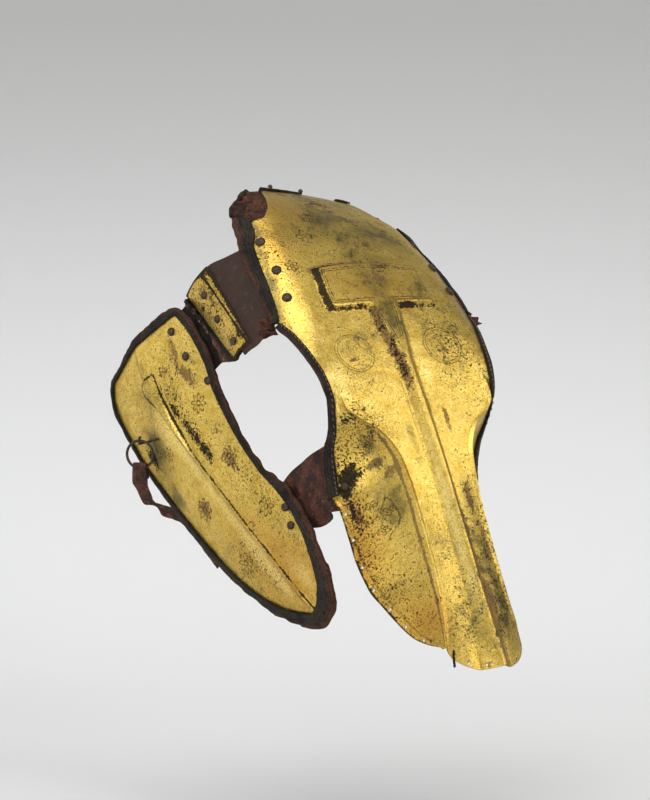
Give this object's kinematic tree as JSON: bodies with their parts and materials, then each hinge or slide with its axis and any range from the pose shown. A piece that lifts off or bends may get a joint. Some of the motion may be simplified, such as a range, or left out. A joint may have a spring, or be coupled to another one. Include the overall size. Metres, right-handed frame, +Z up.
{
  "type": "horse head armour",
  "caption": "Gilt copper horse head armour: a ridged face plate with eye cuts and flared nose sides, small plates and leaf-ridged cheek plates hung on leather.",
  "frame": {"origin": "inner side of the face plate at the brow, on the middle line, where the armour rests on the horse's forehead", "axes": "+Z up, the horse looks along -Y, +X is the horse's left"},
  "size_m": [0.3578, 0.5167, 0.4764],
  "materials": {
    "gilt": "worn gilding over hammered copper, punched ornament, dark pits",
    "dark_leather": "blackish, dry, stitched",
    "brown_leather": "smooth, matt",
    "red_leather": "red-brown, cracked",
    "iron": "rusted dark"
  },
  "bodies": {
    "root": {"face_plate": "gilt", "eye_binding_right": "dark_leather", "eye_binding_left": "dark_leather", "side_binding_right": "dark_leather", "side_binding_left": "dark_leather", "poll_strip": "dark_leather", "poll_loop": "dark_leather", "cheek_plate_right": "gilt", "cheek_binding_right": "dark_leather", "cheek_plate_left": "gilt", "cheek_binding_left": "dark_leather", "lame_right": "gilt", "lame_left": "gilt", "upper_leather_right": "brown_leather", "upper_leather_left": "brown_leather", "lame_leather_right": "red_leather", "lame_leather_left": "red_leather", "ear_lining_right": "red_leather", "ear_lining_left": "red_leather", "strap_loop_right": "red_leather", "strap_loop_left": "red_leather", "ring_right": "iron", "staple_right": "iron", "ring_left": "iron", "staple_left": "iron", "throat_strap_right": "red_leather", "throat_strap_left": "red_leather", "nose_lacing": "dark_leather", "brow_rivet_1_right": "iron", "brow_rivet_2_right": "iron", "brow_rivet_3_right": "iron", "strap_rivet_right": "iron", "lame_rivet_1_right": "iron", "lame_rivet_2_right": "iron", "lame_rivet_3_right": "iron", "cheek_rivet_1_right": "iron", "cheek_rivet_2_right": "iron", "cheek_rivet_3_right": "iron", "cheek_rivet_4_right": "iron", "cheek_rivet_5_right": "iron", "brow_rivet_1_left": "iron", "brow_rivet_2_left": "iron", "brow_rivet_3_left": "iron", "strap_rivet_left": "iron", "lame_rivet_1_left": "iron", "lame_rivet_2_left": "iron", "lame_rivet_3_left": "iron", "cheek_rivet_1_left": "iron", "cheek_rivet_2_left": "iron", "cheek_rivet_3_left": "iron", "cheek_rivet_4_left": "iron", "cheek_rivet_5_left": "iron", "poll_rivet_1": "iron", "poll_rivet_2": "iron"}
  },
  "joints": []
}
